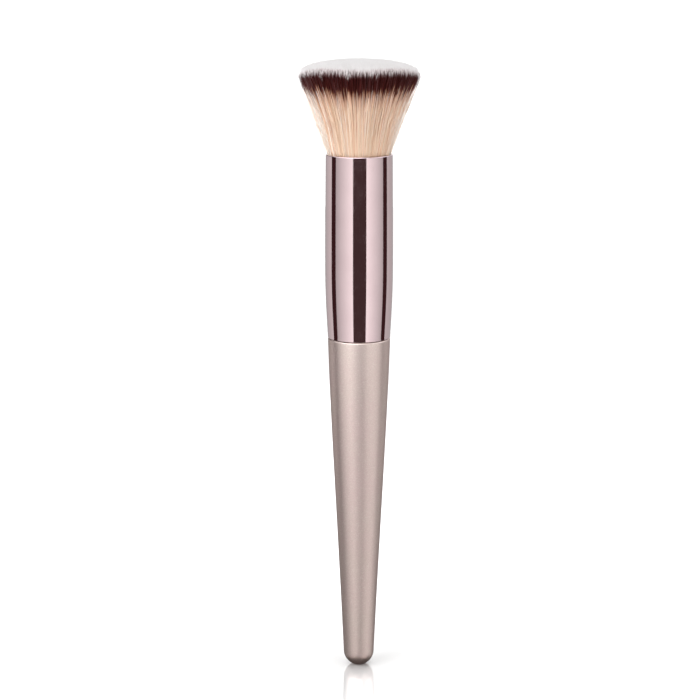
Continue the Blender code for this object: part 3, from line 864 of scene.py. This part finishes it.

# Flat cards under the brush: a wide one far below, with stripes like the mirror row's, and a small dark one
# close under the foot, a painted shade in place of the brush's own shade
UNDER_GLOW = (
    (-180.0, 0.45), (-108.0, 0.75), (-107.0, 0.10), (-87.0, 0.10), (-86.0, 0.55), (-21.5, 1.10),
    (-20.5, 0.12), (24.5, 0.12), (25.5, 1.10), (88.0, 0.55), (89.0, 0.10), (108.0, 0.10),
    (109.0, 0.75), (180.0, 0.45),
)
SHADE_GLOW = ((-180.0, 0.08), (180.0, 0.08))
FLAT_CARDS = (
    # name, height, radius and glow
    ("card_under", GROUND_ROW[0], PANEL_DISTANCE, UNDER_GLOW),
    ("painted_foot_shade_card", -2.0 * MM, 8.0 * MM, SHADE_GLOW),
)

# The floor lights up for the camera with the distance from the brush, as (distances, levels): near the foot,
# so that its mirror image fades out, and further off, so that the floor is plain white there
FLOOR_RADIUS = 9.0
FLOOR_COLOUR, PLAIN_WHITE = (0.92, 0.92, 0.92, 1.0), (1.0, 1.0, 1.0, 1.0)
NEAR_LIFT = ((0.004, 0.05), (0.0, 0.42))
FAR_LIFT = ((0.10, 0.60), (0.0, 0.33))

AMBIENT = 0.42
LAMP_AIM = Vector((0, 0, 0.1))
LAMPS = (
    # name, place, size and power
    ("lamp_left", (-1.50, -1.00, 0.9), 1.4, 33.5),
    ("lamp_right", (1.55, -0.9, 0.7), 1.4, 16.0),
    ("lamp_above", (0.0, 0.2, 1.6), 1.2, 12.6),
)


def panel_finish(name, colour, glow):
    """A lit or dark sheet whose brightness runs along the bearing."""
    finish = bpy.data.materials.new(name)
    finish.use_nodes = True
    tree = finish.node_tree
    tree.nodes.clear()
    place = put(tree, "SeparateXYZ", {0: put(tree, "TexCoord").outputs["Object"]})
    backward = maths(tree, "MULTIPLY", place.outputs["Y"], -1.0)
    bearing = maths(tree, "ARCTAN2", place.outputs["X"], backward)
    start, end = glow[0][0], glow[-1][0]
    along = ranged(tree, bearing, (math.radians(start), math.radians(end)), (0.0, 1.0))
    brightest = max(level for _, level in glow)
    stops = [((turn - start) / (end - start), (level / brightest,) * 3) for turn, level in glow]
    level = maths(tree, "MULTIPLY", ramp(tree, along, stops), brightest)
    lit = put(tree, "Emission", {"Color": (*colour, 1.0), "Strength": level})
    put(tree, "OutputMaterial", {"Surface": lit.outputs[0]})
    return finish


def set_up_for_shine(panel, name, colour, glow):
    """Finishes a panel or card as part of the studio that only shine sees."""
    panel.name = name
    panel.data.materials.append(panel_finish(name, colour, glow))
    for ray in ("camera", "diffuse", "shadow", "transmission", "volume_scatter"):
        setattr(panel, "visible_" + ray, False)


def make_panel(name, colour, row, glow):
    """An upright curved sheet round part of the brush."""
    low, high = row
    bpy.ops.object.select_all(action="DESELECT")
    start, end = math.radians(glow[0][0]), math.radians(glow[-1][0])
    place = (PANEL_DISTANCE * math.sin(start), -PANEL_DISTANCE * math.cos(start), low)
    bpy.ops.mesh.primitive_plane_add(size=MM, location=place)
    bpy.ops.object.transform_apply(location=True)
    bpy.ops.object.mode_set(mode="EDIT")
    bpy.ops.mesh.select_all(action="SELECT")
    bpy.ops.mesh.merge(type="CENTER")
    bpy.ops.mesh.extrude_region_move(TRANSFORM_OT_translate={"value": (0, 0, high - low)})
    bpy.ops.mesh.select_all(action="SELECT")
    steps = math.ceil((end - start) / PANEL_STEP)
    bpy.ops.mesh.spin(steps=steps, angle=start - end, center=(0, 0, 0), axis=(0, 0, 1))
    bpy.ops.object.mode_set(mode="OBJECT")
    set_up_for_shine(bpy.context.object, name, colour, glow)


def make_flat_card(name, height, radius, glow):
    """A round card facing up under the brush."""
    bpy.ops.object.select_all(action="DESELECT")
    place = (0, 0, height)
    bpy.ops.mesh.primitive_circle_add(vertices=CARD_FACETS, radius=radius, fill_type="NGON", location=place)
    bpy.ops.object.transform_apply(location=True)
    set_up_for_shine(bpy.context.object, name, WARM_PANEL, glow)


def floor_finish():
    """Pale matt floor with a light polish. Away from the brush the camera sees it as plain white."""
    finish, tree, shader = new_finish(
        "studio_floor", Base_Color=FLOOR_COLOUR, Metallic=0.35, Roughness=0.06, Emission_Color=PLAIN_WHITE
    )
    place = put(tree, "TexCoord").outputs["Object"]
    away = put(tree, "VectorMath", {0: place}, operation="LENGTH").outputs["Value"]
    lift = maths(tree, "ADD", ranged(tree, away, *NEAR_LIFT), ranged(tree, away, *FAR_LIFT))
    tree.links.new(maths(tree, "MULTIPLY", seen_ray(tree), lift), shader.inputs["Emission Strength"])
    return finish


def make_floor():
    bpy.ops.object.select_all(action="DESELECT")
    bpy.ops.mesh.primitive_circle_add(vertices=FLOOR_FACETS, radius=FLOOR_RADIUS, fill_type="NGON")
    floor = bpy.context.object
    floor.name = "studio_floor"
    floor.data.materials.append(floor_finish())
    floor.visible_glossy = False


def make_world():
    """White to the camera and in shine, and a soft even glow on everything else."""
    world = bpy.data.worlds.new("studio_air")
    bpy.context.scene.world = world
    world.use_nodes = True
    tree = world.node_tree
    back = tree.nodes["Background"]
    back.inputs["Color"].default_value = PLAIN_WHITE
    tree.links.new(ranged(tree, seen_ray(tree), (0.0, 1.0), (AMBIENT, 1.0)), back.inputs["Strength"])


def make_lamp(name, place, size, power):
    """A square soft lamp aimed at the middle of the brush."""
    lamp = bpy.data.lights.new(name, "AREA")
    lamp.shape = "SQUARE"
    lamp.size = size
    lamp.energy = power
    holder = bpy.data.objects.new(name, lamp)
    holder.location = place
    holder.rotation_euler = (LAMP_AIM - Vector(place)).to_track_quat("-Z", "Y").to_euler()
    holder.visible_glossy = False
    holder.visible_camera = False
    bpy.context.scene.collection.objects.link(holder)


def make_studio():
    bpy.context.scene.view_settings.view_transform = "Standard"
    make_world()
    make_floor()
    for card in FLAT_CARDS:
        make_flat_card(*card)
    for panel in PANELS:
        make_panel(*panel)
    for lamp in LAMPS:
        make_lamp(*lamp)


def make_camera():
    camera = bpy.data.objects.new("studio_camera", bpy.data.cameras.new("studio_camera"))
    camera.data.lens = CAMERA_LENS
    camera.data.sensor_width = CAMERA_SENSOR
    camera.data.clip_start, camera.data.clip_end = CAMERA_NEAR, CAMERA_FAR
    camera.location = CAMERA_PLACE
    camera.rotation_euler = (math.pi / 2 - CAMERA_PITCH, 0.0, 0.0)
    bpy.context.scene.collection.objects.link(camera)
    bpy.context.scene.camera = camera


make_brush()
make_studio()
make_camera()
